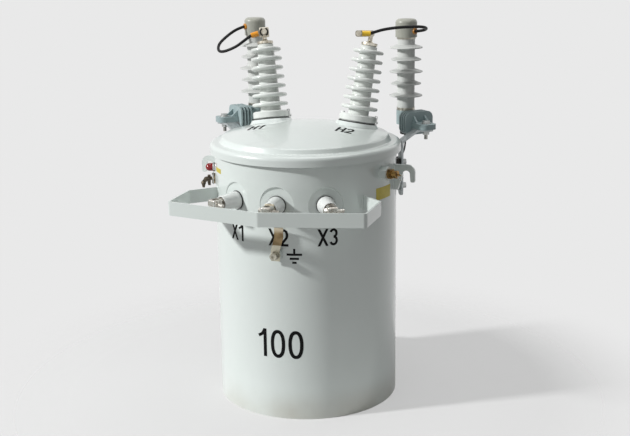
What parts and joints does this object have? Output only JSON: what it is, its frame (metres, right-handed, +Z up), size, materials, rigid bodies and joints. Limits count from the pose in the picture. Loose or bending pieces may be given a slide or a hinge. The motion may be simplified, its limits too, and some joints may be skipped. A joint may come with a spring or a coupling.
{
  "type": "pole mounted transformer",
  "caption": "Round pole mounted transformer tank with high-voltage bushings and surge arresters on top, guarded low-voltage bushings at the front and pole brackets at the back.",
  "frame": {"origin": "centre of the tank's lower rim, on the tank axis", "axes": "+Z up along the tank axis; the low-voltage bushings face -Y and the pole brackets +Y"},
  "size_m": [0.7664, 0.8058, 1.195],
  "materials": {
    "tank_paint": "satin pale grey enamel",
    "porcelain_grey": "glossy light grey glaze",
    "porcelain_white": "glossy white glaze",
    "tinned_metal": "tinned bronze",
    "seal_rubber": "matt black",
    "tinned_copper": "dull copper strip with a tinned end",
    "valve_brass": "dark aged brass",
    "galvanised_steel": "galvanised",
    "lead_block": "dark",
    "hanger_polymer": "blue-grey moulding",
    "shed_polymer": "satin grey silicone",
    "cap_polymer": "grey-beige moulding",
    "black_polymer": "matt black",
    "lead_cable": "black sheath",
    "lead_ends": "orange and yellow sleeves",
    "lamp_chrome": "polished",
    "lamp_red": "red lens",
    "breaker_bronze": "dark bronze",
    "core_steel": "plain"
  },
  "bodies": {
    "transformer": {"arrester_cap_left": "cap_polymer", "arrester_cap_right": "cap_polymer", "arrester_hanger_left": "hanger_polymer", "arrester_hanger_right": "hanger_polymer", "arrester_housing_left": "shed_polymer", "arrester_housing_right": "shed_polymer", "arrester_rings": "galvanised_steel", "arrester_strap_left": "galvanised_steel", "arrester_strap_right": "galvanised_steel", "breaker_boss": "breaker_bronze", "bushing_guard": "tank_paint", "core_and_coils": "core_steel", "cover": "tank_paint", "cover_seal": "seal_rubber", "disconnector_left": "black_polymer", "disconnector_right": "black_polymer", "ground_bolt": "tinned_metal", "ground_lead_left": "lead_cable", "ground_lead_right": "lead_cable", "hanger_bolts": "galvanised_steel", "hv_bushing_left": "porcelain_grey", "hv_bushing_right": "porcelain_grey", "hv_seals": "seal_rubber", "hv_terminal_left": "tinned_metal", "hv_terminal_right": "tinned_metal", "jumper_ends_left": "lead_ends", "jumper_ends_right": "lead_ends", "jumper_left": "lead_cable", "jumper_right": "lead_cable", "lamp_bezel": "lamp_chrome", "lamp_lens": "lamp_red", "lead_blocks": "lead_block", "lifting_lug_left": "tank_paint", "lifting_lug_right": "tank_paint", "lv_bushing_x1": "porcelain_white", "lv_bushing_x2": "porcelain_white", "lv_bushing_x3": "porcelain_white", "lv_seals": "seal_rubber", "lv_terminal_x1": "tinned_metal", "lv_terminal_x2": "tinned_metal", "lv_terminal_x3": "tinned_metal", "neutral_strap": "tinned_copper", "pole_bracket_lower": "tank_paint", "pole_bracket_upper": "tank_paint", "relief_valve": "valve_brass", "strap_bolts": "galvanised_steel", "strap_pads": "tank_paint", "tank_floor": "tank_paint", "tank_wall": "tank_paint"},
    "handle": {"breaker_handle": "breaker_bronze"}
  },
  "joints": [
    {"name": "breaker_turn", "type": "hinge", "parent": "transformer", "child": "handle", "pos_m": [-0.28661, -0.10432, 0.713], "axis": [-0.9397, -0.342, 0], "range_deg": [0, 90]}
  ]
}
